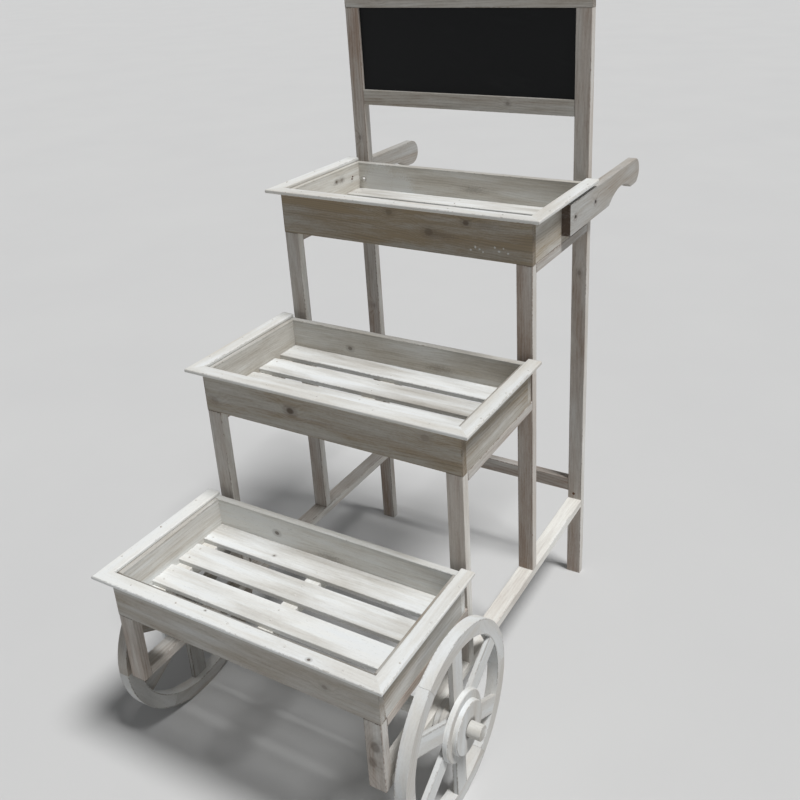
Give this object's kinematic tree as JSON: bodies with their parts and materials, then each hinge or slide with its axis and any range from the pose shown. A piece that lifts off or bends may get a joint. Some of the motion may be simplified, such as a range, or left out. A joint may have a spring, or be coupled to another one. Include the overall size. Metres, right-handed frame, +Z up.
{
  "type": "flower cart stand",
  "caption": "Whitewashed wooden flower cart with three stepped slatted trays, two spoked wheels, push handles and a small chalkboard.",
  "frame": {"origin": "on the ground below the middle of the stand's outline", "axes": "+Z up, -Y is the front, where the lowest tray and the wheels are, and +X is to the right of someone who faces the rear from the front"},
  "size_m": [0.774, 1.252, 1.435],
  "materials": {
    "whitewashed_wood": "thin white wash rubbed back so that the brown grain shows, matt",
    "blackboard_paint": "black chalkboard paint, matt",
    "screw_steel": "dull steel"
  },
  "bodies": {
    "frame": {"axle": "whitewashed_wood", "axle_saddle_left": "whitewashed_wood", "axle_saddle_right": "whitewashed_wood", "chalkboard_bottom_rail": "whitewashed_wood", "chalkboard_panel": "blackboard_paint", "chalkboard_top_rail": "whitewashed_wood", "handle_left": "whitewashed_wood", "handle_right": "whitewashed_wood", "handle_screws_left": "screw_steel", "handle_screws_right": "screw_steel", "leg_front_left": "whitewashed_wood", "leg_front_right": "whitewashed_wood", "leg_middle_left": "whitewashed_wood", "leg_middle_right": "whitewashed_wood", "leg_tall_left": "whitewashed_wood", "leg_tall_right": "whitewashed_wood", "lower_back_board": "whitewashed_wood", "lower_battens": "whitewashed_wood", "lower_front_board": "whitewashed_wood", "lower_rail_left": "whitewashed_wood", "lower_rail_right": "whitewashed_wood", "lower_rim_front": "whitewashed_wood", "lower_rim_left": "whitewashed_wood", "lower_rim_right": "whitewashed_wood", "lower_side_board_left": "whitewashed_wood", "lower_side_board_right": "whitewashed_wood", "lower_slats": "whitewashed_wood", "middle_back_board": "whitewashed_wood", "middle_battens": "whitewashed_wood", "middle_front_board": "whitewashed_wood", "middle_rail_left": "whitewashed_wood", "middle_rail_right": "whitewashed_wood", "middle_rim_front": "whitewashed_wood", "middle_rim_left": "whitewashed_wood", "middle_rim_right": "whitewashed_wood", "middle_side_board_left": "whitewashed_wood", "middle_side_board_right": "whitewashed_wood", "middle_slats": "whitewashed_wood", "rear_stretcher": "whitewashed_wood", "runner_left": "whitewashed_wood", "runner_right": "whitewashed_wood", "upper_back_board": "whitewashed_wood", "upper_battens": "whitewashed_wood", "upper_front_board": "whitewashed_wood", "upper_rail_left": "whitewashed_wood", "upper_rail_right": "whitewashed_wood", "upper_rim_front": "whitewashed_wood", "upper_rim_left": "whitewashed_wood", "upper_rim_right": "whitewashed_wood", "upper_side_board_left": "whitewashed_wood", "upper_side_board_right": "whitewashed_wood", "upper_slats": "whitewashed_wood", "upright_left": "whitewashed_wood", "upright_right": "whitewashed_wood"},
    "wheel_left": {"wheel_left_felloes": "whitewashed_wood", "wheel_left_spokes": "whitewashed_wood", "wheel_left_hub": "whitewashed_wood"},
    "wheel_right": {"wheel_right_felloes": "whitewashed_wood", "wheel_right_spokes": "whitewashed_wood", "wheel_right_hub": "whitewashed_wood"}
  },
  "joints": [
    {"name": "wheel_left_roll", "type": "hinge", "parent": "frame", "child": "wheel_left", "pos_m": [-0.327, -0.407, 0.195], "axis": [1, 0, 0], "continuous": true},
    {"name": "wheel_right_roll", "type": "hinge", "parent": "frame", "child": "wheel_right", "pos_m": [0.327, -0.407, 0.195], "axis": [1, 0, 0], "continuous": true}
  ]
}
